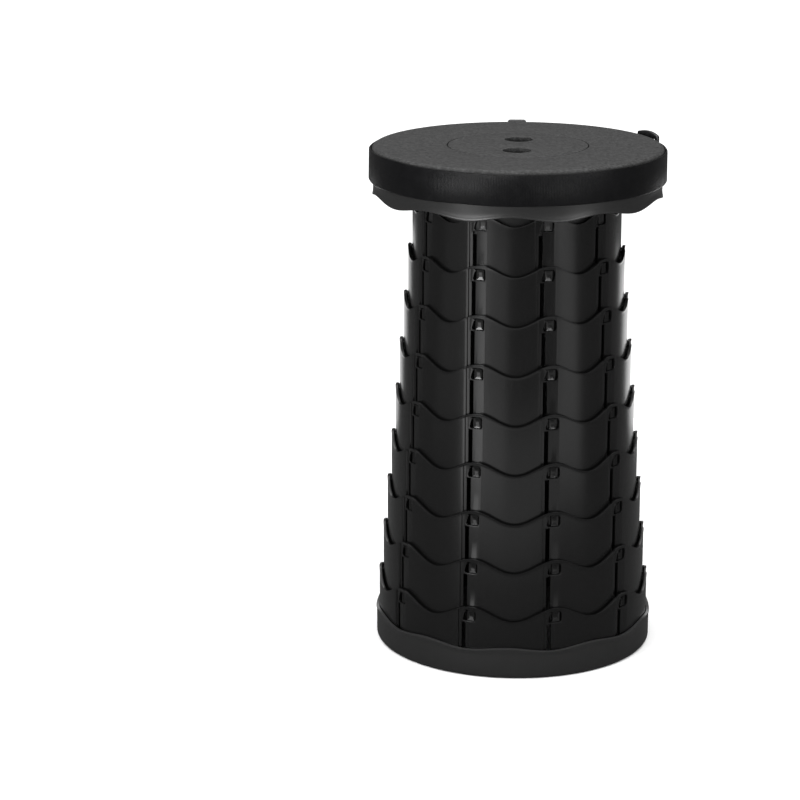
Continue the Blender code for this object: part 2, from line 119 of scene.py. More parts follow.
def name_piece(name):
    piece = bpy.context.object
    piece.name = name
    piece.data.name = name
    return piece


def pick_faces(piece, wanted):
    """Opens the piece with only the faces whose centre and normal pass the test selected."""
    edit(piece, "FACE")
    bpy.ops.mesh.select_all(action="DESELECT")
    done()
    count = 0
    for face in piece.data.polygons:
        face.select = bool(wanted(face.center, face.normal))
        count += face.select
    bpy.ops.object.mode_set(mode="EDIT")
    return count


def with_modifier(piece, kind, **settings):
    """Adds a modifier with these settings and applies it."""
    take(piece)
    modifier = piece.modifiers.new(kind.title(), kind)
    for key, value in settings.items():
        setattr(modifier, key, value)
    bpy.ops.object.modifier_apply(modifier=modifier.name)


def weld(piece, distance=TOUCH):
    """Merges doubles and turns every face outwards."""
    edit(piece)
    bpy.ops.mesh.remove_doubles(threshold=distance)
    bpy.ops.mesh.select_all(action="SELECT")
    bpy.ops.mesh.normals_make_consistent(inside=False)
    done()


def round_edges(piece, width, sharper_than=30.0, segments=2):
    with_modifier(
        piece,
        "BEVEL",
        width=width,
        segments=segments,
        limit_method="ANGLE",
        angle_limit=math.radians(sharper_than),
        harden_normals=False,
    )


def finish_piece(piece, material, body, slot, *nodes, smooth_below=35.0):
    """Shades the piece, gives it its finish, hangs it on the body it rides on, and hides the CAD parts it
    stands for.
    """
    take(piece)
    bpy.ops.object.shade_smooth_by_angle(angle=math.radians(smooth_below))
    piece.data.materials.clear()
    piece.data.materials.append(material)
    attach(piece, body)
    if nodes:
        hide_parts(*nodes)
    print(piece.name, len(piece.data.polygons), "faces")


def outward(bearing):
    """The level unit vector at a bearing."""
    angle = math.radians(bearing)
    return Vector((math.sin(angle), -math.cos(angle), 0.0))


def bearing_of(point):
    return math.degrees(math.atan2(point.x, -point.y))


def crest_share(bearing):
    """0 at a valley of the scalloped rims, and 1 at a crest."""
    return (1.0 - math.cos(math.radians(LOBES * bearing))) / 2.0


# %% [markdown]
# ## The camera
#
# A long lens, a little above the seat and looking down, sees the seat as a flat ellipse and the column
# nearly square on. The camera stands slightly round to the right of the stool's front.

# %% Camera
CAMERA_DISTANCE = 2.2390
CAMERA_HEIGHT = 0.8260
CAMERA_BEARING = 1.5
CAMERA_PITCH_DOWN = 15.307
CAMERA_YAW_LEFT = 2.579
CAMERA_LENS = 119.0

camera = bpy.data.objects.new("camera", bpy.data.cameras.new("camera"))
bpy.context.scene.collection.objects.link(camera)
camera.location = outward(CAMERA_BEARING) * CAMERA_DISTANCE + Vector((0.0, 0.0, CAMERA_HEIGHT))
camera.rotation_euler = (
    math.radians(90.0 - CAMERA_PITCH_DOWN),
    0.0,
    math.radians(CAMERA_BEARING + CAMERA_YAW_LEFT),
)
camera.data.lens = CAMERA_LENS
bpy.context.scene.camera = camera

# %% [markdown]
# ## Finishes
#
# Each finish starts from what the material is and how its surface was made. One helper adds a node, sets
# its options and feeds its inputs, and one turns an sRGB hex colour to the linear values that nodes want.
# A Mix node keeps its colours at inputs 6 and 7 and their blend at output 2, because the names A and B
# stand for plain values first.

# %% Material helpers
def colour(hexcode):
    """An sRGB hex colour as linear RGBA."""
    shares = [int(hexcode[i : i + 2], 16) / 255.0 for i in (1, 3, 5)]
    return [s / 12.92 if s <= 0.04045 else ((s + 0.055) / 1.055) ** 2.4 for s in shares] + [1.0]


def add(tree, kind, inputs=(), **options):
    """Adds a node and returns its outputs. Inputs, in order or by key, are values or other outputs."""
    node = tree.nodes.new("ShaderNode" + kind)
    for key, value in options.items():
        setattr(node, key, value)
    for key, value in inputs.items() if isinstance(inputs, dict) else enumerate(inputs):
        if isinstance(value, bpy.types.NodeSocket):
            tree.links.new(value, node.inputs[key])
        else:
            node.inputs[key].default_value = value
    return node.outputs


def new_finish(name, **sockets):
    """A material with its Principled shader's plain values set. Returns the material, tree and shader."""
    material = bpy.data.materials.new(name)
    material.use_nodes = True
    shader = material.node_tree.nodes["Principled BSDF"]
    for key, value in sockets.items():
        shader.inputs[key.replace("_", " ")].default_value = value
    return material, material.node_tree, shader


def wire(tree, shader, **outputs):
    for key, output in outputs.items():
        tree.links.new(output, shader.inputs[key.replace("_", " ")])


# %% [markdown]
# ### Ring plastic
#
# The rings are injection-moulded polypropylene, black all through, from a polished mould: semi-gloss, with
# a very slight orange peel. Sliding in and out draws fine upright scuffs on them, and their edges polish
# to a greyer line. Scuffs a tenth of a millimetre wide would vanish here, so they are drawn 0.8 mm wide.

# %% Ring plastic
SCUFF_WIDTH, SCUFF_LENGTH = 0.8 * MM, 22.0 * MM
PEEL_GRAIN = 1.6 * MM
DULL_PATCH = 30.0 * MM


def moulded_black(name, base, worn, roughness, peel_height):
    """Black polypropylene with upright scuffs, orange peel and edges worn pale."""
    material, tree, shader = new_finish(name, IOR=1.49, Specular_IOR_Level=0.42)
    place = add(tree, "TexCoord")["Object"]
    scuff_size = Vector((1.0 / SCUFF_WIDTH, 1.0 / SCUFF_WIDTH, 1.0 / SCUFF_LENGTH))
    stretched = add(tree, "Mapping", {"Vector": place, "Scale": scuff_size})["Vector"]
    scuffs = add(tree, "TexNoise", {"Vector": stretched, "Scale": 1.0, "Detail": 2.0})["Fac"]
    cloud = add(tree, "TexNoise", {"Vector": place, "Scale": 1.0 / DULL_PATCH, "Detail": 2.0})["Fac"]
    peel = add(tree, "TexNoise", {"Vector": place, "Scale": 1.0 / PEEL_GRAIN, "Detail": 1.0})["Fac"]
    sharpness = add(tree, "NewGeometry")["Pointiness"]
    worn_edge = add(tree, "MapRange", (sharpness, 0.53, 0.62, 0.0, 0.75))["Result"]
    scuffed = add(tree, "MapRange", (scuffs, 0.55, 0.85, 0.0, 0.15))["Result"]
    body = add(tree, "Mix", {0: scuffed, 6: colour(base), 7: colour(worn)}, data_type="RGBA")[2]
    edged = add(tree, "Mix", {0: worn_edge, 6: body, 7: colour(worn)}, data_type="RGBA")[2]
    dull = add(tree, "MapRange", (cloud, 0.3, 0.7, 0.0, 0.06))["Result"]
    dull = add(tree, "Math", (dull, scuffed), operation="ADD")["Value"]
    rough = add(tree, "MapRange", (dull, 0.0, 0.4, roughness, roughness + 0.10))["Result"]
    bump = add(tree, "Bump", {"Height": peel, "Strength": 0.25, "Distance": peel_height})["Normal"]
    wire(tree, shader, Base_Color=edged, Roughness=rough, Normal=bump)
    return material


ring_plastic = moulded_black("moulded_polypropylene_semi_gloss", "#0b0b0b", "#1d1d1d", 0.23, 0.04 * MM)
base_plastic = moulded_black("moulded_polypropylene_satin", "#1d1d1d", "#333333", 0.34, 0.07 * MM)

# %% [markdown]
# ### Seat plastic
#
# The seat's mould was etched with a leather grain, so that it doesn't feel slippery. The grain is a
# cellular pattern 1.7 mm across. Sitting on it rubs the tops of the grain paler, in small soft patches.

# %% Seat plastic
GRAIN_CELL = 1.7 * MM
GRIT = 2.6 * MM
RUB_PATCH = 7.0 * MM
GRAIN_DEPTH = 0.12 * MM


def grained_seat():
    material, tree, shader = new_finish("grained_polypropylene", IOR=1.49, Specular_IOR_Level=0.16)
    place = add(tree, "TexCoord")["Object"]
    cell_inputs = {"Vector": place, "Scale": 1.0 / GRAIN_CELL, "Randomness": 1.0}
    cells = add(tree, "TexVoronoi", cell_inputs, feature="DISTANCE_TO_EDGE")["Distance"]
    grit_inputs = {"Vector": place, "Scale": 1.0 / GRIT, "Detail": 5.0, "Roughness": 0.7}
    grit = add(tree, "TexNoise", grit_inputs)["Fac"]
    patch_inputs = {"Vector": place, "Scale": 1.0 / RUB_PATCH, "Detail": 4.0, "Roughness": 0.6}
    patches = add(tree, "TexNoise", patch_inputs)["Fac"]
    rubbed = add(tree, "MapRange", (patches, 0.35, 0.7, 0.0, 0.8))["Result"]
    worn = add(tree, "Mix", {0: rubbed, 6: colour("#252525"), 7: colour("#2f2f2f")}, data_type="RGBA")[2]
    speck = add(tree, "MapRange", (grit, 0.42, 0.66, 0.0, 1.0))["Result"]
    specked = add(tree, "Mix", {0: speck, 6: worn, 7: colour("#424242")}, data_type="RGBA")[2]
    rough = add(tree, "MapRange", (patches, 0.3, 0.7, 0.62, 0.48))["Result"]
    cell_floors = add(tree, "MapRange", (cells, 0.0, 0.25, 0.0, 1.0))["Result"]
    grain = add(tree, "Math", (cell_floors, grit), operation="ADD")["Value"]
    bump = add(tree, "Bump", {"Height": grain, "Strength": 0.45, "Distance": GRAIN_DEPTH})["Normal"]
    wire(tree, shader, Base_Color=specked, Roughness=rough, Normal=bump)
    return material


seat_plastic = grained_seat()

# %% [markdown]
# ### Webbing
#
# The strap is woven black polypropylene: fat warp yarns along it, crossed by thin weft, in a twill. Its
# pattern follows the webbing, so it reads the piece's own UV map, which is laid out in metres. Real yarns
# are 0.5 mm apart. They are drawn 1.3 mm apart, as coarse as they need to be to show. A thin strip along
# the upper edge is painted nearly black, as painted shade where the strap's top edge lies under the seat's
# rim.

# %% Webbing
YARN = 1.3 * MM
YARN_DEPTH = 0.12 * MM
DUST_PATCH = 9.0 * MM
# Heights of the strip along the strap's top edge that is painted dark, as painted shade
SHADED_TOP_LOW, SHADED_TOP_HIGH = 436.0 * MM, 436.6 * MM


def woven_webbing():
    material, tree, shader = new_finish("woven_polypropylene_webbing", IOR=1.49, Specular_IOR_Level=0.15)
    uv = add(tree, "UVMap", uv_map="webbing")["UV"]
    apart = add(tree, "SeparateXYZ", (uv,))
    along = add(tree, "Math", (apart["X"], 2.0 * math.pi / YARN), operation="MULTIPLY")["Value"]
    across = add(tree, "Math", (apart["Y"], 2.0 * math.pi / YARN), operation="MULTIPLY")["Value"]
    slope = add(tree, "Math", (along, across), operation="ADD")["Value"]
    twill = add(tree, "Math", (slope,), operation="SINE")["Value"]
    ribs = add(tree, "Math", (across,), operation="COSINE")["Value"]
    weave = add(tree, "Math", (twill, ribs), operation="MULTIPLY")["Value"]
    place = add(tree, "TexCoord")["Object"]
    fluff = add(tree, "TexNoise", {"Vector": place, "Scale": 1.0 / DUST_PATCH, "Detail": 4.0})["Fac"]
    shade = add(tree, "MapRange", (weave, -1.0, 1.0, 0.0, 1.0))["Result"]
    yarns = add(tree, "Mix", {0: shade, 6: colour("#050506"), 7: colour("#0c0c0d")}, data_type="RGBA")[2]
    dusty = add(tree, "MapRange", (fluff, 0.45, 0.75, 0.0, 0.4))["Result"]
    dusted = add(tree, "Mix", {0: dusty, 6: yarns, 7: colour("#101011")}, data_type="RGBA")[2]
    # Painted shade: the strip along the strap's top edge turns nearly black, for the shadow under the seat's
    # rim
    painted_top_shade = add(tree, "MapRange", (apart["Y"], SHADED_TOP_LOW, SHADED_TOP_HIGH, 0.0, 1.0))["Result"]
    edged = add(tree, "Mix", {0: painted_top_shade, 6: dusted, 7: colour("#020202")}, data_type="RGBA")[2]
    rough = add(tree, "MapRange", (fluff, 0.3, 0.7, 0.30, 0.38))["Result"]
    bump = add(tree, "Bump", {"Height": weave, "Strength": 0.5, "Distance": YARN_DEPTH})["Normal"]
    wire(tree, shader, Base_Color=edged, Roughness=rough, Normal=bump)
    return material


webbing_finish = woven_webbing()

# %% [markdown]
# ### Buckle, pads and screws
#
# The slider and keeper are acetal, smoother than the rings. The pads are rubber with a matte bloom. The
# screws are zinc plated, a metal with a faint cloudy brightness, and keep the default index of refraction.

# %% Small finishes
PIT_WIDTH, PIT_DEPTH = 0.7 * MM, 0.05 * MM


def cloudy(name, dark, light, rough_low, rough_high, cloud_mm, **sockets):
    """A plain material whose colour and roughness drift softly, with a very fine pitted bump."""
    material, tree, shader = new_finish(name, **sockets)
    place = add(tree, "TexCoord")["Object"]
    cloud = add(tree, "TexNoise", {"Vector": place, "Scale": 1.0 / (cloud_mm * MM), "Detail": 4.0})["Fac"]
    pits = add(tree, "TexNoise", {"Vector": place, "Scale": 1.0 / PIT_WIDTH, "Detail": 2.0})["Fac"]
    share = add(tree, "MapRange", (cloud, 0.35, 0.65, 0.0, 1.0))["Result"]
    tint = add(tree, "Mix", {0: share, 6: colour(dark), 7: colour(light)}, data_type="RGBA")[2]
    rough = add(tree, "MapRange", (cloud, 0.35, 0.65, rough_low, rough_high))["Result"]
    bump = add(tree, "Bump", {"Height": pits, "Strength": 0.3, "Distance": PIT_DEPTH})["Normal"]
    wire(tree, shader, Base_Color=tint, Roughness=rough, Normal=bump)
    return material


acetal = cloudy("moulded_acetal", "#101011", "#1b1b1c", 0.28, 0.36, 6.0, IOR=1.48)
rubber = cloudy("black_rubber", "#101010", "#1c1c1b", 0.75, 0.9, 8.0, IOR=1.52)
zinc = cloudy("zinc_plated_steel", "#a9a9a4", "#c4c4be", 0.25, 0.42, 1.5, Metallic=1.0)

# %% [markdown]
# ## The rings
#
# Each ring is a thin wall with a scalloped rim. Ten slots and ten windows pierce it. Between each slot and
# the next panel lies a slightly tilted band, which the light picks out. Inside run ten shallow channels,
# and near the foot stand ten lugs, which show in the windows of the next larger ring.
#
# It could be cut out of a cylinder with forty Booleans. It is easier to model one lobe flat, as if the
# ring were unrolled, then repeat it ten times and bend the strip round into a ring. The rolled strip closes
# on itself exactly, because its length is the ring's circumference.

# %% Sizes of one lobe, as arc lengths from the crest and heights
SLOT_LEFT, SLOT_RIGHT = -8.1 * MM, -4.4 * MM
WINDOW_LEFT, WINDOW_RIGHT = -7.6 * MM, 4.9 * MM
WINDOW_LEAN = 2.7 * MM
WINDOW_CORNER = 0.8 * MM
CHANNEL_LEFT = -3.8 * MM
BAND_LEFT, BAND_RIGHT = -10.6 * MM, 6.0 * MM
BAND_STEP = 0.35 * MM
BAND_SINK = 1.15 * MM
BAND_PROUD = 0.15 * MM
SHOULDER_DROP = 14.0 * MM
WINDOW_FOOT_DROP = 12.9 * MM
WINDOW_TOP_DROP = 2.7 * MM
SLOT_FOOT = 1.4 * MM
CHANNEL_DEPTH = 1.0 * MM
CHANNEL_SIDE = 0.2 * MM
LUG_LEFT, LUG_RIGHT = -3.0 * MM, 3.2 * MM
LUG_REACH = 2.0 * MM
LUG_HEIGHT = 8.6 * MM
LUG_DROP = 3.9 * MM
FLARE = 0.35 * MM
FLARE_HEIGHT = 2.0 * MM
COLUMN_SPACING = 2.6 * MM
ROWS_BELOW_SHOULDER = (12.0 * MM, 5.0 * MM, 2.0 * MM)
ROWS_BESIDE_WINDOW = (0.25, 0.45, 0.65)
ROWS_ABOVE_WINDOW = (0.0, 0.9 * MM, 1.8 * MM)
LAST_RING_ROW = 9.0 * MM


def ring_radius(number):
    return RING_1_RADIUS + RING_STEP * (number - 1)


def spread(places, spacing):
    """The places in order, with more between them wherever two are further apart than the spacing."""
    places = sorted(places)
    filled = [places[0]]
    for low, high in zip(places, places[1:]):
        count = max(1, math.ceil((high - low) / spacing))
        filled += [low + (high - low) * step / count for step in range(1, count + 1)]
    return filled


# %% [markdown]
# A plane is stood upright and bisected at every place where something begins or ends. The slot and the
# window are then simply the faces between their edges, and are deleted.

# %% A flat wall, cut into a grid
def flat_wall(name, columns, rows):
    let_go()
    bpy.ops.mesh.primitive_plane_add(size=1.0, rotation=(math.radians(90.0), 0.0, 0.0))
    wall = name_piece(name)
    wall.scale = (columns[-1] - columns[0], rows[-1] - rows[0], 1.0)
    wall.location = ((columns[-1] + columns[0]) / 2.0, 0.0, (rows[-1] + rows[0]) / 2.0)
    settle(wall)
    edit(wall)
    for direction, places in (((1.0, 0.0, 0.0), columns[1:-1]), ((0.0, 0.0, 1.0), rows[1:-1])):
        for place in places:
            bpy.ops.mesh.select_all(action="SELECT")
            point = [place * share for share in direction]
            bpy.ops.mesh.bisect(plane_co=point, plane_no=direction, threshold=0.001 * MM)
    done()
    return wall


# %% [markdown]
# The outer face is then pushed about: the rim follows a cosine and flares out a little, and the band tilts
# so that its left side lies deeper than its right. The band ends in a crisp step at each side.

# %% The lobe's surface
def band_depth(x):
    """How deep the outer face lies at this distance from the crest. Outwards is negative."""
    if BAND_LEFT <= x <= BAND_RIGHT:
        share = (x - BAND_LEFT) / (BAND_RIGHT - BAND_LEFT)
        return BAND_SINK + (-BAND_PROUD - BAND_SINK) * share
    return 0.0


def rim_height(x, lobe, wave, crest):
    return crest - wave * (1.0 - math.cos(2.0 * math.pi * x / lobe)) / 2.0


def flare(below_rim):
    share = max(0.0, 1.0 - below_rim / FLARE_HEIGHT)
    return FLARE * share * share


def near(value, place):
    return abs(value - place) < 2.0 * TOUCH


# %% [markdown]
# Extruding the pushed face inwards gives the wall its thickness. The inner face is still selected after an
# extrude, which makes it easy to set: it lies a wall's thickness in, or less where a channel runs. The
# extrude also closes the two sides where the next lobes join, so those faces are deleted again.

# %% One lobe
def make_lobe(number, lobe, wave, height, lug_top):
    half = lobe / 2.0
    shoulder = height - SHOULDER_DROP
    columns = spread(
        [
            -half, BAND_LEFT - BAND_STEP, BAND_LEFT, SLOT_LEFT, WINDOW_LEFT, SLOT_RIGHT,
            CHANNEL_LEFT - CHANNEL_SIDE, CHANNEL_LEFT, LUG_LEFT, LUG_RIGHT, WINDOW_RIGHT,
            WINDOW_RIGHT + CHANNEL_SIDE, BAND_RIGHT, BAND_RIGHT + BAND_STEP, half,
        ],
        COLUMN_SPACING,
    )
    window_foot, window_top = height - WINDOW_FOOT_DROP, height - WINDOW_TOP_DROP
    rows = [0.0, SLOT_FOOT, lug_top - LUG_HEIGHT, lug_top]
    rows += [shoulder - drop for drop in ROWS_BELOW_SHOULDER] + [shoulder, window_foot]
    rows += [shoulder + SHOULDER_DROP * share for share in ROWS_BESIDE_WINDOW]
    rows += [window_top + rise for rise in ROWS_ABOVE_WINDOW] + [height]
    lobe_wall = flat_wall(f"lobe_{number}", columns, sorted(rows))

    def open_face(centre, normal):
        in_slot = SLOT_LEFT < centre.x < SLOT_RIGHT and SLOT_FOOT < centre.z < shoulder
        in_window = WINDOW_LEFT < centre.x < WINDOW_RIGHT and window_foot < centre.z < window_top
        return in_slot or in_window

    pick_faces(lobe_wall, open_face)
    bpy.ops.mesh.delete(type="FACE")
    done()
    for vertex in lobe_wall.data.vertices:
        point = vertex.co
        rim = rim_height(point.x, lobe, wave, height)
        up = (point.z - window_foot) / (window_top - window_foot)
        at_end = near(point.z, window_foot) or near(point.z, window_top)
        at_side = near(point.x, WINDOW_LEFT) or near(point.x, WINDOW_RIGHT)
        if near(point.x, WINDOW_LEFT) and -0.01 < up < 1.01:
            point.x += WINDOW_LEAN * up
        if at_end and at_side:
            point.x += WINDOW_CORNER if point.x < 0.0 else -WINDOW_CORNER
            point.z += WINDOW_CORNER if up < 0.5 else -WINDOW_CORNER
        if point.z > shoulder:
            point.z = shoulder + (point.z - shoulder) / SHOULDER_DROP * (rim - shoulder)
        point.y = band_depth(point.x) - flare(rim - point.z)

    edit(lobe_wall, "FACE")
    bpy.ops.mesh.extrude_region_move(TRANSFORM_OT_translate={"value": (0.0, RING_WALL, 0.0)})
    done()
    for vertex in lobe_wall.data.vertices:
        if vertex.select:
            point = vertex.co
            rim = rim_height(point.x, lobe, wave, height)
            across = CHANNEL_LEFT - TOUCH < point.x < WINDOW_RIGHT + TOUCH
            in_channel = across and point.z < shoulder + TOUCH
            point.y = RING_WALL - (CHANNEL_DEPTH if in_channel else 0.0) - flare(rim - point.z)

    pick_faces(lobe_wall, lambda c, n: abs(n.x) > 0.9 and (near(c.x, -half) or near(c.x, half)))
    bpy.ops.mesh.delete(type="FACE")
    done()
    weld(lobe_wall)
    if number < RING_COUNT:
        raise_lug(lobe_wall, lug_top)
    return lobe_wall


# %% [markdown]
# A lug is extruded straight out of the wall. Its face is then inset and pushed back in, as moulders do to
# keep a thick spot from sinking, which gives the small bright facets seen through each window.

# %% The lug
LUG_INSET = 1.3 * MM
LUG_DISH = 0.9 * MM


def raise_lug(wall, lug_top):
    def lug_face(centre, normal):
        on_outside = centre.y < RING_WALL / 2.0 and abs(normal.y) > 0.5
        return LUG_LEFT < centre.x < LUG_RIGHT and lug_top - LUG_HEIGHT < centre.z < lug_top and on_outside

    pick_faces(wall, lug_face)
    bpy.ops.mesh.extrude_region_move(TRANSFORM_OT_translate={"value": (0.0, -LUG_REACH, 0.0)})
    done()
    for vertex in wall.data.vertices:
        if vertex.select:
            vertex.co.y = -LUG_REACH
    bpy.ops.object.mode_set(mode="EDIT")
    bpy.ops.mesh.inset(thickness=LUG_INSET, depth=0.0)
    bpy.ops.transform.translate(value=(0.0, LUG_DISH, 0.0))
    done()


# %% [markdown]
# The strip of ten lobes starts and ends at a valley, at the back of the stool. Simple Deform bends it
# round a full turn. It puts the centre one radius behind the strip, so the ring is moved forward again.
#
# Pulled out by hand, the rings never end up quite in line: each is turned a little on the next, by less
# than the play of its lugs in the windows. RING_TURN is that turn, and it stops growing at RING_TURN_MOST.

# %% One ring
RING_EDGE = 0.38 * MM
RING_TURN, RING_TURN_MOST = 0.4, 1.9


def make_ring(number):
    radius = ring_radius(number)
    lobe = 2.0 * math.pi * radius / LOBES
    foot = ring_feet[number]
    lug_top = ring_crests[number + 1] - LUG_DROP - foot if number < RING_COUNT else LAST_RING_ROW
    ring = make_lobe(number, lobe, RIM_WAVE_SHARE * radius, ring_crests[number] - foot, lug_top)
    ring.name = f"scalloped_ring_{number}"
    ring.data.name = ring.name
    ring.location = (-lobe * (LOBES - 1) / 2.0, 0.0, foot)
    settle(ring)
    with_modifier(
        ring,
        "ARRAY",
        count=LOBES,
        use_relative_offset=False,
        use_constant_offset=True,
        constant_offset_displace=(lobe, 0.0, 0.0),
        use_merge_vertices=True,
        merge_threshold=TOUCH,
    )
    with_modifier(ring, "SIMPLE_DEFORM", deform_method="BEND", deform_axis="Z", angle=2.0 * math.pi)
    ring.location.y = -radius
    settle(ring)
    ring.rotation_euler.z = math.radians(min(RING_TURN * number, RING_TURN_MOST))
    settle(ring)
    weld(ring)
    round_edges(ring, RING_EDGE, sharper_than=40.0)
    return ring


for number in range(1, RING_COUNT + 1):
    ring = make_ring(number)
    body = "base" if number == RING_COUNT else f"ring_{number}_body"
    finish_piece(ring, ring_plastic, body, "ring_plastic", f"ring_{number}")

# %% [markdown]
# ## Turned pieces
#
# The pan, the seat's mouldings and the pads are round. A lathe profile could be spun, but drawing it ring
# by ring works as well and keeps full control: start from a circle, extrude its edge, move it up or down,
# scale it, and go on round the section until it meets itself.

# %% A piece drawn ring by ring
def drawn(name, profile, sides=ROUND_SIDES, solid=False):
    """Draws a section of (radius, height) points round the stool's axis. Discs close a solid piece."""
    let_go()
    radius, height = profile[0]
    bpy.ops.mesh.primitive_circle_add(
        vertices=sides, radius=radius, location=(0.0, 0.0, height), fill_type="NGON" if solid else "NOTHING"
    )
    piece = name_piece(name)
    settle(piece)
    edit(piece)
    for next_radius, next_height in profile[1:] + ([] if solid else profile[:1]):
        move = {"value": (0.0, 0.0, next_height - height)}
        bpy.ops.mesh.extrude_region_move(TRANSFORM_OT_translate=move)
        size = next_radius / radius
        bpy.ops.transform.resize(value=(size, size, 1.0), center_override=(0.0, 0.0, next_height))
        radius, height = next_radius, next_height
    done()
    weld(piece, 2.0 * TOUCH)
    return piece


def quarter(radius, height, reach, drop, steps, start, end):
    """Points along a quarter round about (radius, height), from one angle to another in degrees."""
    angles = [math.radians(start + (end - start) * step / steps) for step in range(steps + 1)]
    return [(radius + reach * math.cos(a), height + drop * math.sin(a)) for a in angles]


# %% [markdown]
# ## The base pan
#
# A shallow pan that the largest ring is snapped into. Its rim waves the opposite way to the rings' rims, so
# that it meshes with the seat's skirt when the stool is pushed down. The rim is moved after the pan is
# drawn, and the rows below it follow less and less, so that the wall stays smooth.

# %% Base pan
PAN_OUTER = 121.3 * MM
PAN_WALL = 1.9 * MM
PAN_FLOOR = 2.4 * MM
PAN_RIM = 24.2 * MM
PAN_WAVE = 3.2 * MM
PAN_FOOT_ROUND = 3.0 * MM
PAN_CORNER = 1.5 * MM
PAN_BEAD = 0.5 * MM
PAN_ROW_DROPS = (9.0 * MM, 5.0 * MM, 2.2 * MM, 1.0 * MM)
FLOOR_CIRCLE, UNDERSIDE_CIRCLE = 60.0 * MM, 110.0 * MM


def make_base_pan():
    inner = PAN_OUTER - PAN_WALL
    wall_heights = [PAN_RIM - drop for drop in PAN_ROW_DROPS]
    profile = [(FLOOR_CIRCLE, PAN_FLOOR), (inner - PAN_CORNER, PAN_FLOOR)]
    profile += quarter(inner - PAN_CORNER, PAN_FLOOR + PAN_CORNER, PAN_CORNER, PAN_CORNER, 3, -60.0, 0.0)
    profile += [(inner, height) for height in wall_heights + [PAN_RIM]]
    profile += [(PAN_OUTER + PAN_BEAD, PAN_RIM), (PAN_OUTER + PAN_BEAD, wall_heights[-1])]
    profile += [(PAN_OUTER, height) for height in wall_heights[-2::-1]]
    rounding = PAN_FOOT_ROUND
    profile += quarter(PAN_OUTER - rounding, rounding, rounding, rounding, 5, 0.0, -90.0)
    profile += [(UNDERSIDE_CIRCLE, 0.0)]
    pan = drawn("base_pan_moulding", profile, solid=True)
    start = wall_heights[0]
    for vertex in pan.data.vertices:
        share = max(0.0, (vertex.co.z - start) / (PAN_RIM - start))
        vertex.co.z += PAN_WAVE * share * (1.0 - crest_share(bearing_of(vertex.co)))
    return pan


pan = make_base_pan()

# %% [markdown]
# The rubber pads sit in pockets under the floor. One cutter is moved round to five bearings, and a Boolean
# takes each pocket out. The pads are drawn once, with two fine grooves for grip, and copied.

# %% Pockets and pads
PAD_COUNT = 5
PAD_RADIUS = 11.0 * MM
PAD_CIRCLE = 92.0 * MM
PAD_THICKNESS = 1.2 * MM
PAD_SIDES = 48
PAD_GROOVE = 0.35 * MM
PAD_GAP = 0.3 * MM
GROOVE_CIRCLES = (7.5 * MM, 3.5 * MM)
BELOW_PAN = -2.0 * MM


def cut_away(piece, cutter):
    with_modifier(piece, "BOOLEAN", operation="DIFFERENCE", object=cutter, solver="EXACT")


def copied(piece, name, bearing, circle):
    """A copy with its own mesh, moved out from the stool's axis."""
    take(piece)
    bpy.ops.object.duplicate(linked=False)
    copy = name_piece(name)
    copy.location = outward(bearing) * circle
    settle(copy)
    return copy


pocket_radius = PAD_RADIUS + PAD_GAP
pocket_profile = [(pocket_radius, PAD_THICKNESS + PAD_GAP), (pocket_radius, BELOW_PAN)]
pocket = drawn("pocket", pocket_profile, PAD_SIDES, True)
pad_profile = [(PAD_RADIUS, PAD_THICKNESS), (PAD_RADIUS, PAD_GROOVE), (PAD_RADIUS - PAD_GROOVE, 0.0)]
for groove in GROOVE_CIRCLES:
    pad_profile += [(groove + 2.0 * PAD_GROOVE, 0.0), (groove + PAD_GROOVE, PAD_GROOVE)]
    pad_profile += [(groove - PAD_GROOVE, PAD_GROOVE), (groove - 2.0 * PAD_GROOVE, 0.0)]
pad = drawn("pad", pad_profile, PAD_SIDES, True)
for index in range(PAD_COUNT):
    bearing = index * 360.0 / PAD_COUNT
    cutter = copied(pocket, "cutter", bearing, PAD_CIRCLE)
    cut_away(pan, cutter)
    bpy.data.objects.remove(cutter)
    placed = copied(pad, f"rubber_pad_{index + 1}", bearing, PAD_CIRCLE)
    finish_piece(placed, rubber, "base", "rubber", f"foot_pad_{index + 1}")
bpy.data.objects.remove(pocket)
bpy.data.objects.remove(pad)
finish_piece(pan, base_plastic, "base", "base_plastic", "base_pan")

# %% [markdown]
# ## The seat frame
#
# One moulding under the seat: a skirt with a waved foot, a plate for the top to rest on, and a short hub
# that slides inside ring 1. The skirt's foot ends in a small bead. Above it the wall curves in a little
# and out again to a soft shoulder, and both catch the light, which is how the eye reads a moulding.

# %% Seat frame sizes
SKIRT_INNER, SKIRT_OUTER = 120.1 * MM, 124.1 * MM
SKIRT_FOOT, SKIRT_TOP = 400.8 * MM, 423.7 * MM
SKIRT_WAVE = 4.3 * MM
WAVE_REACH, WAVE_FULL = 9.0 * MM, 2.0 * MM
# The skirt's outside, from the bead at the foot up past the shoulder: radius and height in millimetres
SKIRT_OUTSIDE = [
    (122.4, 400.8), (124.1, 400.9), (124.5, 401.2), (124.7, 401.7), (124.6, 402.2), (124.4, 402.5),
    (124.4, 402.9), (124.1, 404.0), (123.9, 405.6), (124.0, 407.4), (124.3, 409.4), (124.4, 410.3),
    (124.3, 411.0), (124.1, 411.4), (124.1, 416.0),
]
SKIRT_INSIDE_ROWS = (412.0 * MM, 406.0 * MM, 403.0 * MM)
NECK_RADIUS = 122.3 * MM
PLATE_TOP = seat_top_height - 2.7 * MM
PLATE_FOOT = PLATE_TOP - 1.3 * MM
WELL_FOOT, WELL_TOP = 428.0 * MM, 429.6 * MM
WELL_INNER = 50.0 * MM
HUB_FOOT_DROP = 17.0 * MM
HUB_LUG_TURN = 18.75
HUB_LUG_HALF = 2.3
HUB_MARGIN = 0.5 * MM

# %% [markdown]
# The section is drawn ring by ring. The rows near the foot then go down with the wave, each row less than
# the one below it. The hub's lugs are picked by bearing and height, extruded, and scaled outwards.

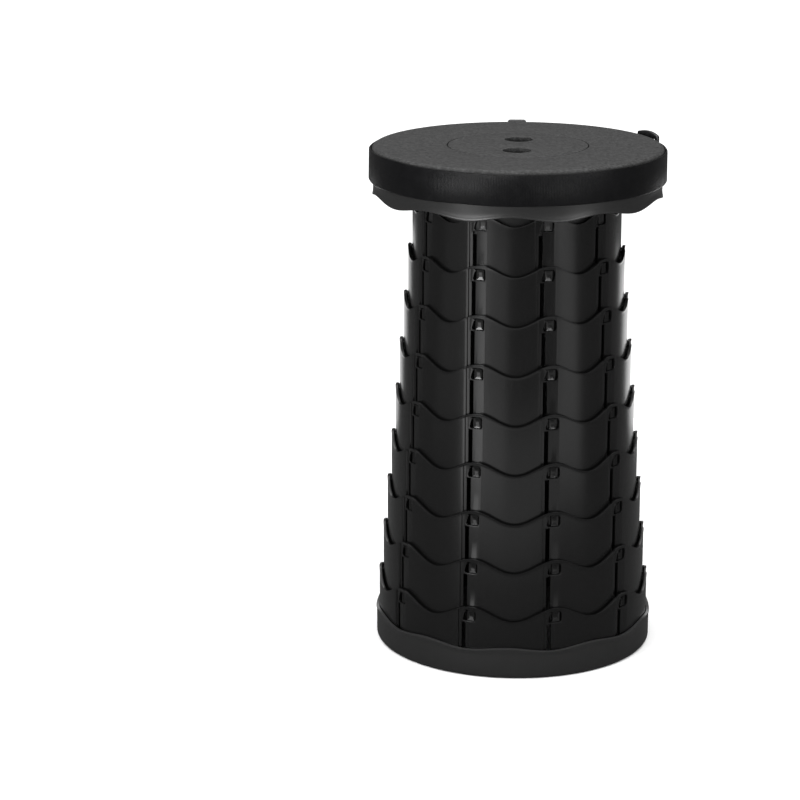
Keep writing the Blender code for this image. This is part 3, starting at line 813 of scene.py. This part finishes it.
# %% Seat frame
def make_seat_frame():
    hub_outer, hub_inner = ring_radius(0), ring_radius(0) - RING_WALL
    hub_foot = ring_crests[1] - HUB_FOOT_DROP
    lug_top = ring_crests[1] - LUG_DROP
    profile = [(SKIRT_INNER, SKIRT_FOOT)] + [(radius * MM, height * MM) for radius, height in SKIRT_OUTSIDE]
    profile += [
        (SKIRT_OUTER, SKIRT_TOP), (NECK_RADIUS, SKIRT_TOP), (NECK_RADIUS, PLATE_TOP), (hub_inner, PLATE_TOP),
        (hub_inner, WELL_TOP), (WELL_INNER, WELL_TOP), (WELL_INNER, WELL_FOOT), (hub_inner, WELL_FOOT),
        (hub_inner, hub_foot), (hub_outer, hub_foot), (hub_outer, lug_top - LUG_HEIGHT),
        (hub_outer, lug_top), (hub_outer, PLATE_FOOT), (SKIRT_INNER, PLATE_FOOT),
    ]
    profile += [(SKIRT_INNER, height) for height in SKIRT_INSIDE_ROWS]
    seat_frame = drawn("seat_frame_moulding", profile)
    for vertex in seat_frame.data.vertices:
        point = vertex.co
        if math.hypot(point.x, point.y) > SKIRT_INNER - HUB_MARGIN:
            share = min(1.0, max(0.0, (SKIRT_FOOT + WAVE_REACH - point.z) / (WAVE_REACH - WAVE_FULL)))
            point.z -= SKIRT_WAVE * crest_share(bearing_of(point)) * share

    def lug_face(centre, normal):
        on_hub = abs(math.hypot(centre.x, centre.y) - hub_outer) < HUB_MARGIN
        turn = (bearing_of(centre) - HUB_LUG_TURN + LOBE_ANGLE / 2.0) % LOBE_ANGLE - LOBE_ANGLE / 2.0
        return on_hub and abs(turn) < HUB_LUG_HALF and lug_top - LUG_HEIGHT < centre.z < lug_top

    print("hub lug faces:", pick_faces(seat_frame, lug_face))
    bpy.ops.mesh.extrude_region_move()
    size = (hub_outer + LUG_REACH) / hub_outer
    bpy.ops.transform.resize(value=(size, size, 1.0), center_override=(0.0, 0.0, 0.0))
    bpy.ops.mesh.inset(thickness=LUG_INSET, depth=0.0)
    size = (hub_outer + LUG_REACH - LUG_DISH) / (hub_outer + LUG_REACH)
    bpy.ops.transform.resize(value=(size, size, 1.0), center_override=(0.0, 0.0, 0.0))
    done()
    round_edges(seat_frame, RING_EDGE, sharper_than=40.0)
    return seat_frame


finish_piece(make_seat_frame(), base_plastic, "seat", "base_plastic", "seat_frame")

# %% [markdown]
# ## The seat
#
# The top is a grained disc with a turned-down rim and a soft rounded edge. The round insert drops into a
# well in its middle and leaves a hairline gap. Two finger holes are cut through the insert with Booleans,
# and a small bevel takes their edges off so that they don't bite.

# %% Seat top and insert
TOP_UNDER = seat_top_height - 2.4 * MM
TOP_RIM_FOOT = 424.0 * MM
TOP_RIM_INNER = 122.6 * MM
TOP_EDGE_REACH, TOP_EDGE_DROP = 5.0 * MM, 3.2 * MM
CAP_RADIUS = 60.0 * MM
CAP_THICKNESS = 3.9 * MM
WELL_GAP = 0.6 * MM
LEDGE_INNER = 52.0 * MM
LEDGE_TOP = seat_top_height - 4.2 * MM
LEDGE_WALL = 1.8 * MM
SOFT_EDGE = 0.7 * MM
FINGER_HOLE_RADIUS = 12.0 * MM
FINGER_HOLE_PLACE = 27.5 * MM
HOLE_ABOVE, HOLE_BELOW = 2.0 * MM, 8.0 * MM
HOLE_EDGE = 0.6 * MM
HOLE_SIDES = 72

well = CAP_RADIUS + WELL_GAP
top, reach, drop = seat_top_height, TOP_EDGE_REACH, TOP_EDGE_DROP
ledge_foot = LEDGE_TOP - LEDGE_WALL
profile = [(well, LEDGE_TOP), (well, top - SOFT_EDGE)]
profile += quarter(well + SOFT_EDGE, top - SOFT_EDGE, SOFT_EDGE, SOFT_EDGE, 3, 150.0, 90.0)
profile += quarter(SEAT_RADIUS - reach, top - drop, reach, drop, 7, 90.0, 0.0)
profile += [(SEAT_RADIUS, TOP_RIM_FOOT), (TOP_RIM_INNER, TOP_RIM_FOOT), (TOP_RIM_INNER, TOP_UNDER)]
profile += [(well + LEDGE_WALL, TOP_UNDER), (well + LEDGE_WALL, ledge_foot), (LEDGE_INNER, ledge_foot)]
profile += [(LEDGE_INNER, LEDGE_TOP)]
seat_top = drawn("seat_top_moulding", profile)
finish_piece(seat_top, seat_plastic, "seat", "seat_plastic", "seat_top")

profile = quarter(CAP_RADIUS - SOFT_EDGE, top - SOFT_EDGE, SOFT_EDGE, SOFT_EDGE, 3, 90.0, 0.0)
seat_cap = drawn("seat_insert", profile + [(CAP_RADIUS, top - CAP_THICKNESS)], solid=True)
for side in (-1.0, 1.0):
    hole = [(FINGER_HOLE_RADIUS, top + HOLE_ABOVE), (FINGER_HOLE_RADIUS, top - HOLE_BELOW)]
    cutter = drawn("finger_hole", hole, HOLE_SIDES, True)
    cutter.location.y = side * FINGER_HOLE_PLACE
    settle(cutter)
    cut_away(seat_cap, cutter)
    bpy.data.objects.remove(cutter)
round_edges(seat_cap, HOLE_EDGE, sharper_than=60.0, segments=3)
finish_piece(seat_cap, seat_plastic, "seat", "seat_plastic", "seat_cap")

# %% [markdown]
# ## The screws
#
# Six pan-head screws hold the top down from below. Only their heads show, to anyone who looks up through
# the column. One is drawn, a cross is cut in its head, and it is copied.

# %% Screws
SCREW_COUNT = 6
SCREW_CIRCLE = 73.5 * MM
HEAD_TOP, HEAD_RADIUS, HEAD_HEIGHT = 427.7 * MM, 3.4 * MM, 2.2 * MM
HEAD_ROUND, HEAD_RIM = 1.4 * MM, 0.6 * MM
SHANK_RADIUS, SHANK_TOP = 1.6 * MM, 433.8 * MM
SCREW_SIDES = 32
CROSS_BLADE = (3.8 * MM, 0.8 * MM, 2.0 * MM)

profile = [(SHANK_RADIUS, SHANK_TOP), (SHANK_RADIUS, HEAD_TOP), (HEAD_RADIUS, HEAD_TOP)]
drop = HEAD_HEIGHT - HEAD_RIM
profile += quarter(HEAD_RADIUS - HEAD_ROUND, HEAD_TOP - HEAD_RIM, HEAD_ROUND, drop, 5, 0.0, -90.0)
screw = drawn("screw", profile, SCREW_SIDES, True)
for turn in (0.0, 90.0):
    let_go()
    bpy.ops.mesh.primitive_cube_add(size=1.0, location=(0.0, 0.0, HEAD_TOP - HEAD_HEIGHT))
    blade = name_piece("cross")
    blade.scale = CROSS_BLADE
    blade.rotation_euler.z = math.radians(turn)
    settle(blade)
    cut_away(screw, blade)
    bpy.data.objects.remove(blade)
for index in range(SCREW_COUNT):
    name = f"pan_head_screw_{index + 1}"
    placed = copied(screw, name, (index + 0.5) * 360.0 / SCREW_COUNT, SCREW_CIRCLE)
    finish_piece(placed, zinc, "seat", "screw_steel", f"seat_screw_{index + 1}")
bpy.data.objects.remove(screw)

# %% [markdown]
# ## The webbing
#
# Webbing is flat, so it is modelled flat: an upright plane, cut across every few millimetres, extruded to
# its thickness, with its two selvedges drawn thinner. While it is flat, its UV map is simply its length and
# height in metres, so the weave keeps its size however the strip is bent afterwards.

# %% A flat length of webbing
SELVEDGE, SELVEDGE_SHARE = 0.9 * MM, 0.45
WEBBING_PACE = 1.6 * MM


def pick_edges(piece, wanted):
    """Opens the piece with only the edges whose two ends pass the test selected."""
    edit(piece, "EDGE")
    bpy.ops.mesh.select_all(action="DESELECT")
    done()
    points = piece.data.vertices
    for edge in piece.data.edges:
        edge.select = bool(wanted(*(points[index].co for index in edge.vertices)))
    bpy.ops.object.mode_set(mode="EDIT")


def flat_webbing(name, length, low, high, thickness):
    rows = [low, low + SELVEDGE, (low + high) / 2.0, high - SELVEDGE, high]
    strip = flat_wall(name, [-length / 2.0, length / 2.0], rows)
    pick_edges(strip, lambda a, b: near(a.z, b.z))
    bpy.ops.mesh.subdivide(number_cuts=round(length / WEBBING_PACE))
    done()
    edit(strip, "FACE")
    bpy.ops.mesh.extrude_region_move(TRANSFORM_OT_translate={"value": (0.0, thickness, 0.0)})
    done()
    for vertex in strip.data.vertices:
        if near(vertex.co.z, low) or near(vertex.co.z, high):
            vertex.co.y = thickness / 2.0 + (vertex.co.y - thickness / 2.0) * SELVEDGE_SHARE
    weld(strip)
    layer = strip.data.uv_layers[0]
    layer.name = "webbing"
    for corner in strip.data.loops:
        point = strip.data.vertices[corner.vertex_index].co
        layer.data[corner.index].uv = (point.x, point.z)
    return strip


def bend_round(piece, radius, bearing=0.0):
    """Bends a flat strip round the stool: its outer face at the radius, its middle at the bearing."""
    places = [vertex.co.x for vertex in piece.data.vertices]
    turn = (max(places) - min(places)) / radius
    with_modifier(piece, "SIMPLE_DEFORM", deform_method="BEND", deform_axis="Z", angle=turn)
    piece.location.y = -radius
    settle(piece)
    piece.rotation_euler.z = math.radians(bearing)
    settle(piece)


# %% [markdown]
# The band runs round the rim from one side of the carrying loop to the other. It was pulled tight by hand,
# so it isn't even: its edges wander by a few tenths of a millimetre, and its upper edge rides up in two
# long swells, each given by its bearing, its spread and its share of STRAP_RISE.

# %% Strap band
STRAP_LOW, STRAP_HIGH = 411.0 * MM, 437.0 * MM
STRAP_OUTER = 127.5 * MM
STRAP_THICKNESS = 2.2 * MM
STRAP_RISE = 1.8 * MM
STRAP_END = 166.0
STRAP_SWELLS = ((-55.0, 32.0, 1.0), (45.0, 30.0, 0.5))
WANDER, FOOT_WANDER = 0.15 * MM, 0.18 * MM
WANDER_WAVES, FOOT_WAVES = 11.0, 7.0

band_length = 2.0 * math.radians(STRAP_END) * STRAP_OUTER
strap_band = flat_webbing("webbing_band", band_length, STRAP_LOW, STRAP_HIGH, STRAP_THICKNESS)
for vertex in strap_band.data.vertices:
    along = vertex.co.x / band_length * 2.0 * math.pi
    share = (vertex.co.z - STRAP_LOW) / (STRAP_HIGH - STRAP_LOW)
    bearing = math.degrees(vertex.co.x / STRAP_OUTER)
    rise = sum(part * math.exp(-(((bearing - swell) / width) ** 2)) for swell, width, part in STRAP_SWELLS)
    vertex.co.z += STRAP_RISE * share * rise + WANDER * math.sin(WANDER_WAVES * along)
    vertex.co.y -= FOOT_WANDER * (1.0 - share) * (1.0 + math.sin(FOOT_WAVES * along + 1.0))
bend_round(strap_band, STRAP_OUTER)
finish_piece(strap_band, webbing_finish, "seat", "webbing", "strap_band", smooth_below=60.0)

# %% [markdown]
# The tail is the spare end behind the slider, and lies on the band. It starts under the slider, far enough
# forward to stay covered when that moves. Past the slider's reach its cut end lifts a little, as a
# heat-sealed end does.

# %% Strap tail
TAIL_OUTER = 129.2 * MM
TAIL_THICKNESS = 1.4 * MM
TAIL_LOW, TAIL_HIGH = 411.3 * MM, 436.7 * MM
TAIL_START, TAIL_END = 114.5, 153.0
LIFT_SHARE = 0.13
END_LIFT = 1.3 * MM

tail_length = math.radians(TAIL_END - TAIL_START) * TAIL_OUTER
strap_tail = flat_webbing("webbing_tail", tail_length, TAIL_LOW, TAIL_HIGH, TAIL_THICKNESS)
for vertex in strap_tail.data.vertices:
    share = vertex.co.x / tail_length + 0.5
    lift = max(0.0, share - 1.0 + LIFT_SHARE) / LIFT_SHARE
    vertex.co.y -= END_LIFT * lift * lift
bend_round(strap_tail, TAIL_OUTER, (TAIL_START + TAIL_END) / 2.0)
finish_piece(strap_tail, webbing_finish, "seat", "webbing", "strap_tail", smooth_below=60.0)

# %% [markdown]
# Between band and tail the webbing comes up through one slot of the slider, over its bar, and down through
# the other. That fold is wherever the slider is, so it is a piece of its own and rides with the slider.

# %% Fold over the slider's bar
BUCKLE_BEARING = 120.5
FOLD_OUTER = 130.7 * MM
FOLD_HALF = 6.4 * MM
FOLD_RISE = 3.9 * MM
FOLD_SPREAD = 0.18

fold = flat_webbing("webbing_fold", 2.0 * FOLD_HALF, TAIL_LOW, TAIL_HIGH, TAIL_THICKNESS)
fold_middle = (TAIL_LOW + TAIL_HIGH) / 2.0
for vertex in fold.data.vertices:
    share = abs(vertex.co.x) / FOLD_HALF
    vertex.co.y -= FOLD_RISE * (1.0 - share**3)
    vertex.co.z = fold_middle + (vertex.co.z - fold_middle) * (1.0 + FOLD_SPREAD * (1.0 - share**2))
bend_round(fold, FOLD_OUTER, BUCKLE_BEARING)
finish_piece(fold, webbing_finish, "buckle", "webbing", smooth_below=60.0)

# %% [markdown]
# ## The carrying loop
#
# The loop is the same webbing. At each side of the keeper it leaves the rim, turns outwards on a small
# radius, runs straight, and goes round its crown. The strip is modelled flat, and each of its points is
# then laid along that route, which is a chain of straights and arcs.

# %% The loop's route
HINGE = Vector((0.0, 125.5 * MM, 424.0 * MM))
LOOP_THICKNESS = 2.0 * MM
LOOP_LOW, LOOP_HIGH = 411.3 * MM, 436.7 * MM
LOOP_RADIUS = 24.5 * MM
LOOP_CROWN = 184.0 * MM
RIM_MIDDLE = 126.4 * MM
ROOT_RADIUS = 8.05 * MM
TUCK = 8.0 * MM

root_turn = math.radians(STRAP_END - 90.0)
root_end = -math.cos(math.radians(STRAP_END)) * RIM_MIDDLE + ROOT_RADIUS * math.sin(root_turn)
leg = LOOP_CROWN - root_end
tuck, root = (TUCK, 1.0 / RIM_MIDDLE), (root_turn * ROOT_RADIUS, -1.0 / ROOT_RADIUS)
route = [tuck, root, (leg, 0.0), (math.pi * LOOP_RADIUS, 1.0 / LOOP_RADIUS), (leg, 0.0), root, tuck]
loop_length = sum(length for length, turn in route)


def along_route(distance):
    """The place and the heading after this distance along the loop's middle."""
    heading = math.radians(STRAP_END) - TUCK / RIM_MIDDLE
    place = Vector((math.sin(heading), -math.cos(heading), 0.0)) * RIM_MIDDLE
    for length, turn in route:
        step = min(distance, length)
        after = heading + turn * step
        if turn:
            chord = Vector((math.sin(after) - math.sin(heading), math.cos(heading) - math.cos(after), 0.0))
            place += chord / turn
        else:
            place += Vector((math.cos(heading), math.sin(heading), 0.0)) * step
        heading = after
        distance -= step
        if distance <= 0.0:
            break
    return place, heading


print("loop webbing", round(loop_length / MM), "mm long, legs", round(leg / MM), "mm")

# %% [markdown]
# At rest the loop droops behind the seat: a point turns about the hinge by a share that grows smoothly
# from BLEND_START to BLEND_END. The share depends on where the point ends up, so a few rounds of trying
# settle it.

# %% Loop
DROOP = math.radians(-40.0)
DROOP_ROUNDS = 16
BLEND_START, BLEND_END = 1.5 * MM, 27.0 * MM
blend_line = Vector((0.0, math.cos(DROOP / 2.0), math.sin(DROOP / 2.0)))


def drooped(point):
    placed = point.copy()
    for _ in range(DROOP_ROUNDS):
        share = ((placed - HINGE).dot(blend_line) - BLEND_START) / (BLEND_END - BLEND_START)
        share = min(1.0, max(0.0, share))
        turn = DROOP * share * share * (3.0 - 2.0 * share)
        arm = point - HINGE
        placed.y = HINGE.y + arm.y * math.cos(turn) - arm.z * math.sin(turn)
        placed.z = HINGE.z + arm.y * math.sin(turn) + arm.z * math.cos(turn)
    return placed


loop = flat_webbing("carrying_loop", loop_length, LOOP_LOW, LOOP_HIGH, LOOP_THICKNESS)
for vertex in loop.data.vertices:
    place, heading = along_route(vertex.co.x + loop_length / 2.0)
    place += Vector((math.sin(heading), -math.cos(heading), 0.0)) * (LOOP_THICKNESS / 2.0 - vertex.co.y)
    place.z = vertex.co.z
    vertex.co = drooped(place)
take(loop)
bpy.ops.object.shade_smooth_by_angle(angle=math.radians(60.0))
loop.data.materials.clear()
loop.data.materials.append(webbing_finish)
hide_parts("strap_handle")
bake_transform(loop)

# %% [markdown]
# ## Slider and keeper
#
# The slider is a tri-glide: a plate with two slots and a bar between them. It is bisected at the slots'
# edges like the rings' walls, extruded, bent to the rim and bevelled. The bar is pushed in a little, to
# leave room for the webbing that goes over it, and the top edge is arched.

# %% Slider buckle
SLIDER_OUTER = 132.9 * MM
SLIDER_THICKNESS = 3.4 * MM
SLIDER_LENGTH, SLIDER_BAR = 33.0 * MM, 3.6 * MM
SLIDER_LOW, SLIDER_HIGH = 408.0 * MM, 440.0 * MM
SLOT_MARGIN = 3.6 * MM
SLIDER_ARCH = 2.2 * MM
SLIDER_PACE, SLIDER_EDGE = 2.0 * MM, 1.1 * MM
BAR_SINK = 0.9 * MM

end, bar = SLIDER_LENGTH / 2.0, SLIDER_BAR / 2.0
slot_low, slot_high = SLIDER_LOW + SLOT_MARGIN, SLIDER_HIGH - SLOT_MARGIN
columns = spread([-end, SLIDER_BAR - end, -bar, 0.0, bar, end - SLIDER_BAR, end], SLIDER_PACE)
slider = flat_wall("tri_glide_slider", columns, [SLIDER_LOW, slot_low, slot_high, SLIDER_HIGH])
pick_faces(slider, lambda c, n: bar < abs(c.x) < end - SLIDER_BAR and slot_low < c.z < slot_high)
bpy.ops.mesh.delete(type="FACE")
done()
edit(slider, "FACE")
bpy.ops.mesh.extrude_region_move(TRANSFORM_OT_translate={"value": (0.0, SLIDER_THICKNESS, 0.0)})
done()
for vertex in slider.data.vertices:
    x, y, z = vertex.co
    on_bar = abs(x) < bar + TOUCH and slot_low - TOUCH < z < slot_high + TOUCH
    if on_bar and near(y, 0.0):
        vertex.co.y = BAR_SINK
    if near(z, SLIDER_HIGH):
        vertex.co.z += SLIDER_ARCH * (1.0 - (x / end) ** 2)
weld(slider)
bend_round(slider, SLIDER_OUTER, BUCKLE_BEARING)
round_edges(slider, SLIDER_EDGE, sharper_than=45.0, segments=3)
finish_piece(slider, acetal, "buckle", "buckle_plastic", "slider_buckle")

# %% [markdown]
# The keeper is the small block at the rear between the two roots of the loop. Its outer face is inset and
# pushed in, as moulders do to keep a thick block from sinking, and all its edges are rounded.

# %% Keeper
KEEPER_BEARING = 182.0
KEEPER_WIDTH, KEEPER_DEPTH, KEEPER_HEIGHT = 16.5 * MM, 6.6 * MM, 20.0 * MM
KEEPER_TOP = seat_top_height + 0.6 * MM
KEEPER_INNER = 125.3 * MM
KEEPER_ROUND, KEEPER_CRISP = 2.2 * MM, 0.3 * MM
KEEPER_FRAME, KEEPER_SINK = 1.8 * MM, 0.9 * MM

let_go()
keeper_place = (0.0, -(KEEPER_INNER + KEEPER_DEPTH / 2.0), KEEPER_TOP - KEEPER_HEIGHT / 2.0)
bpy.ops.mesh.primitive_cube_add(size=1.0, location=keeper_place)
keeper = name_piece("keeper_block")
keeper.scale = (KEEPER_WIDTH, KEEPER_DEPTH, KEEPER_HEIGHT)
settle(keeper)
round_edges(keeper, KEEPER_ROUND, segments=4)
pick_faces(keeper, lambda c, n: n.y < -0.99)
bpy.ops.mesh.inset(thickness=KEEPER_FRAME, depth=0.0)
bpy.ops.mesh.extrude_region_move(TRANSFORM_OT_translate={"value": (0.0, KEEPER_SINK, 0.0)})
done()
round_edges(keeper, KEEPER_CRISP, sharper_than=50.0)
keeper.rotation_euler.z = math.radians(KEEPER_BEARING)
settle(keeper)
finish_piece(keeper, acetal, "seat", "buckle_plastic", "strap_keeper")

# %% [markdown]
# ## Floor and light
#
# The stool stands on a plain pale floor, under a very wide soft light overhead. A black glossy thing is
# drawn by what it mirrors. Its upright walls are seen from a little above, so they mirror the floor in front
# of the stool, and would all look the same grey. A studio photographer covers that floor with black card and
# stands narrow light panels on it. Here the floor is simply darker for mirrored rays, and the panels stand
# close to the stool, out of the camera's sight. Two pairs hang higher, for the strap and the skirt's foot.

# %% Floor and world
FLOOR_SEEN, FLOOR_MIRRORED = "#f6f6f6", "#5a5a5a"
SUN_STRENGTH = 4.2
SUN_SPREAD = 100.0
SKY_MIRRORED = 0.16
FLOOR_WIDTH, FLOOR_GAP = 30.0, 0.2 * MM

let_go()
bpy.ops.mesh.primitive_plane_add(size=FLOOR_WIDTH, location=(0.0, 0.0, -FLOOR_GAP))
floor = name_piece("floor")
settle(floor)
floor_paint, floor_tree, floor_shader = new_finish("pale_floor", Roughness=0.9, Specular_IOR_Level=0.0)
mirrored = add(floor_tree, "LightPath")["Is Glossy Ray"]
floor_tints = {0: mirrored, 6: colour(FLOOR_SEEN), 7: colour(FLOOR_MIRRORED)}
wire(floor_tree, floor_shader, Base_Color=add(floor_tree, "Mix", floor_tints, data_type="RGBA")[2])
floor.data.materials.append(floor_paint)

world = bpy.data.worlds.new("studio")
bpy.context.scene.world = world
world.use_nodes = True
sky = world.node_tree.nodes["Background"]
seen = add(world.node_tree, "LightPath")["Is Camera Ray"]
sky_strength = add(world.node_tree, "MapRange", (seen, 0.0, 1.0, SKY_MIRRORED, 1.0))["Result"]
wire(world.node_tree, sky, Strength=sky_strength)
sky.inputs["Color"].default_value = (1.0, 1.0, 1.0, 1.0)

# %% Lights
def hang_light(name, kind, place, aim, **settings):
    light = bpy.data.lights.new(name, kind)
    for key, value in settings.items():
        setattr(light, key, value)
    lamp = bpy.data.objects.new(name, light)
    bpy.context.scene.collection.objects.link(lamp)
    lamp.location = place
    lamp.rotation_euler = (aim - place).to_track_quat("-Z", "Y").to_euler()
    lamp.visible_camera = False
    return lamp


overhead = Vector((0.0, 0.0, 3.0))
hang_light("overhead", "SUN", overhead, Vector(), energy=SUN_STRENGTH, angle=math.radians(SUN_SPREAD))

# Upright panels that face the stool's axis: bearing, distance, width, height, power, height of the foot
PANELS = {
    "left_strip": (-36.5, 0.62, 0.15, 0.30, 0.36, 0.0),
    "left_glow": (-64.0, 0.80, 0.40, 0.30, 0.07, 0.0),
    "front_glow": (-19.0, 0.62, 0.28, 0.30, 0.16, 0.0),
    "right_strip": (52.0, 0.62, 0.24, 0.30, 0.21, 0.0),
    "front_low": (0.0, 0.42, 0.80, 0.13, 0.16, 0.0),
    "left_back": (-158.0, 0.70, 0.40, 0.23, 0.34, 0.0),
    "right_back": (156.0, 0.70, 0.50, 0.20, 0.55, 0.0),
    "strap_left": (-31.0, 0.62, 0.12, 0.12, 0.10, 0.31),
    "strap_right": (46.0, 0.62, 0.12, 0.12, 0.12, 0.31),
    "skirt_left": (-31.0, 0.62, 0.15, 0.26, 2.40, 0.44),
    "skirt_right": (41.0, 0.62, 0.12, 0.26, 0.90, 0.44),
}
for name, (bearing, distance, width, tall, power, foot) in PANELS.items():
    aim = Vector((0.0, 0.0, foot + tall / 2.0))
    place = outward(bearing) * distance + aim
    hang_light(name, "AREA", place, aim, shape="RECTANGLE", size=width, size_y=tall, energy=power)
bpy.context.scene.view_settings.view_transform = "Standard"
